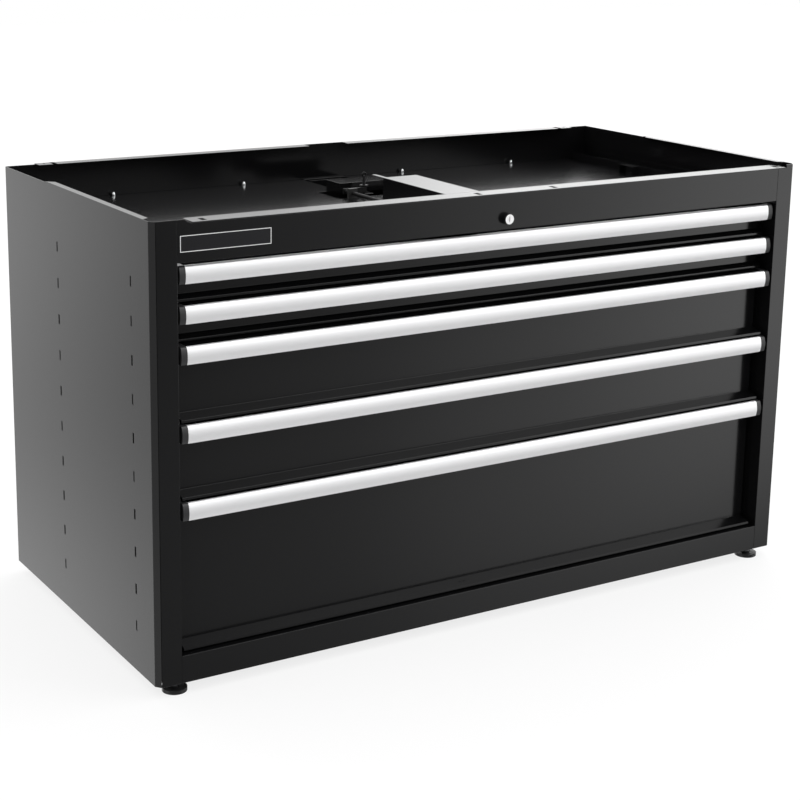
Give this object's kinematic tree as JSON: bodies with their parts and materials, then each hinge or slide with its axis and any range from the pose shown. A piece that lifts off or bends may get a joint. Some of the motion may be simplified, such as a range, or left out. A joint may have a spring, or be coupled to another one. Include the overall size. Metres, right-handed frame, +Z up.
{
  "type": "base cabinet with drawers",
  "caption": "Wide steel base cabinet for a workbench, with full-width drawers on telescopic slides, aluminium grip rails, a central lock and levelling feet.",
  "frame": {"origin": "on the floor under the middle of the cabinet's bounding box, which runs from the lock's bezel in front to the back panel", "axes": "+Z up, +X to the right as seen from the front, -Y the way the drawers open"},
  "size_m": [1.45, 0.711, 0.8555],
  "materials": {
    "black_steel": "black powder coat, semi-gloss with a fine texture",
    "grip_aluminium": "satin anodised extrusion",
    "cap_plastic": "dark grey moulded end cap",
    "slide_steel": "zinc-plated rolled steel",
    "zinc_steel": "bright zinc plating",
    "lock_chrome": "chromed die casting",
    "guide_nylon": "black nylon",
    "foot_plastic": "black moulded foot on a zinc-plated screw",
    "plate_print": "blank dark plate with a pale border"
  },
  "bodies": {
    "cabinet": {"side_panel_left": "black_steel", "side_panel_right": "black_steel", "front_post_left": "black_steel", "front_post_right": "black_steel", "fascia_panel": "black_steel", "top_rail_plate": "black_steel", "bottom_rail": "black_steel", "rear_rail": "black_steel", "base_panel": "black_steel", "rear_panel": "black_steel", "rear_spine": "black_steel", "crossbar_channel": "black_steel", "dust_cover_left": "black_steel", "dust_cover_right": "black_steel", "cover_ledges": "black_steel", "cover_screws": "zinc_steel", "lock_bracket": "black_steel", "lock_cylinder": "black_steel", "lock_guides": "guide_nylon", "slide_carriers": "black_steel", "cabinet_slides": "slide_steel", "foot_nuts": "zinc_steel", "name_plate": "plate_print"},
    "drawer_1": {"drawer_1_box": "black_steel", "drawer_1_front": "black_steel", "drawer_1_handle": "grip_aluminium", "drawer_1_handle_caps": "cap_plastic", "drawer_1_drawer_slides": "slide_steel"},
    "drawer_1_middle": {"drawer_1_middle_slides": "slide_steel"},
    "drawer_2": {"drawer_2_box": "black_steel", "drawer_2_front": "black_steel", "drawer_2_handle": "grip_aluminium", "drawer_2_handle_caps": "cap_plastic", "drawer_2_drawer_slides": "slide_steel"},
    "drawer_2_middle": {"drawer_2_middle_slides": "slide_steel"},
    "drawer_3": {"drawer_3_box": "black_steel", "drawer_3_front": "black_steel", "drawer_3_handle": "grip_aluminium", "drawer_3_handle_caps": "cap_plastic", "drawer_3_drawer_slides": "slide_steel"},
    "drawer_3_middle": {"drawer_3_middle_slides": "slide_steel"},
    "drawer_4": {"drawer_4_box": "black_steel", "drawer_4_front": "black_steel", "drawer_4_handle": "grip_aluminium", "drawer_4_handle_caps": "cap_plastic", "drawer_4_drawer_slides": "slide_steel"},
    "drawer_4_middle": {"drawer_4_middle_slides": "slide_steel"},
    "drawer_5": {"drawer_5_box": "black_steel", "drawer_5_front": "black_steel", "drawer_5_handle": "grip_aluminium", "drawer_5_handle_caps": "cap_plastic", "drawer_5_drawer_slides": "slide_steel"},
    "drawer_5_middle": {"drawer_5_middle_slides": "slide_steel"},
    "lock_plug": {"lock_plug": "lock_chrome"},
    "lock_shaft": {"lock_shaft": "black_steel"},
    "lock_bar": {"lock_bar": "black_steel"},
    "levelling_foot_front_left": {"levelling_foot_front_left": "foot_plastic"},
    "levelling_foot_front_right": {"levelling_foot_front_right": "foot_plastic"},
    "levelling_foot_rear_left": {"levelling_foot_rear_left": "foot_plastic"},
    "levelling_foot_rear_right": {"levelling_foot_rear_right": "foot_plastic"}
  },
  "joints": [
    {"name": "drawer_1_slide", "type": "slide", "parent": "cabinet", "child": "drawer_1", "axis": [0, -1, 0], "range_m": [0, 0.4]},
    {"name": "drawer_1_middle_slide", "type": "slide", "parent": "cabinet", "child": "drawer_1_middle", "axis": [0, -1, 0], "range_m": [0, 0.2]},
    {"name": "drawer_2_slide", "type": "slide", "parent": "cabinet", "child": "drawer_2", "axis": [0, -1, 0], "range_m": [0, 0.4]},
    {"name": "drawer_2_middle_slide", "type": "slide", "parent": "cabinet", "child": "drawer_2_middle", "axis": [0, -1, 0], "range_m": [0, 0.2]},
    {"name": "drawer_3_slide", "type": "slide", "parent": "cabinet", "child": "drawer_3", "axis": [0, -1, 0], "range_m": [0, 0.4]},
    {"name": "drawer_3_middle_slide", "type": "slide", "parent": "cabinet", "child": "drawer_3_middle", "axis": [0, -1, 0], "range_m": [0, 0.2]},
    {"name": "drawer_4_slide", "type": "slide", "parent": "cabinet", "child": "drawer_4", "axis": [0, -1, 0], "range_m": [0, 0.4]},
    {"name": "drawer_4_middle_slide", "type": "slide", "parent": "cabinet", "child": "drawer_4_middle", "axis": [0, -1, 0], "range_m": [0, 0.2]},
    {"name": "drawer_5_slide", "type": "slide", "parent": "cabinet", "child": "drawer_5", "axis": [0, -1, 0], "range_m": [0, 0.4]},
    {"name": "drawer_5_middle_slide", "type": "slide", "parent": "cabinet", "child": "drawer_5_middle", "axis": [0, -1, 0], "range_m": [0, 0.2]},
    {"name": "lock_turn", "type": "hinge", "parent": "cabinet", "child": "lock_plug", "pos_m": [-0.004, -0.3445, 0.802], "axis": [0, 1, 0], "range_deg": [0, 90]},
    {"name": "lock_shaft_turn", "type": "hinge", "parent": "cabinet", "child": "lock_shaft", "pos_m": [-0.076, -0.2845, 0.789], "axis": [0, -1, 0], "range_deg": [0, 7.2]},
    {"name": "lock_bar_lift", "type": "slide", "parent": "cabinet", "child": "lock_bar", "axis": [0, 0, 1], "range_m": [0, 0.006]},
    {"name": "levelling_foot_front_left_turn", "type": "hinge", "parent": "cabinet", "child": "levelling_foot_front_left", "pos_m": [-0.68, -0.3175, 0.012], "axis": [0, 0, 1], "continuous": true},
    {"name": "levelling_foot_front_right_turn", "type": "hinge", "parent": "cabinet", "child": "levelling_foot_front_right", "pos_m": [0.68, -0.3175, 0.012], "axis": [0, 0, 1], "continuous": true},
    {"name": "levelling_foot_rear_left_turn", "type": "hinge", "parent": "cabinet", "child": "levelling_foot_rear_left", "pos_m": [-0.68, 0.3285, 0.012], "axis": [0, 0, 1], "continuous": true},
    {"name": "levelling_foot_rear_right_turn", "type": "hinge", "parent": "cabinet", "child": "levelling_foot_rear_right", "pos_m": [0.68, 0.3285, 0.012], "axis": [0, 0, 1], "continuous": true}
  ],
  "couplings": [
    {"joint": "drawer_1_middle_slide", "follows": "drawer_1_slide", "ratio": 0.5},
    {"joint": "drawer_2_middle_slide", "follows": "drawer_2_slide", "ratio": 0.5},
    {"joint": "drawer_3_middle_slide", "follows": "drawer_3_slide", "ratio": 0.5},
    {"joint": "drawer_4_middle_slide", "follows": "drawer_4_slide", "ratio": 0.5},
    {"joint": "drawer_5_middle_slide", "follows": "drawer_5_slide", "ratio": 0.5},
    {"joint": "lock_turn", "follows": "lock_bar_lift", "rad_per_m": 261.79},
    {"joint": "lock_shaft_turn", "follows": "lock_bar_lift", "rad_per_m": 20.94}
  ]
}
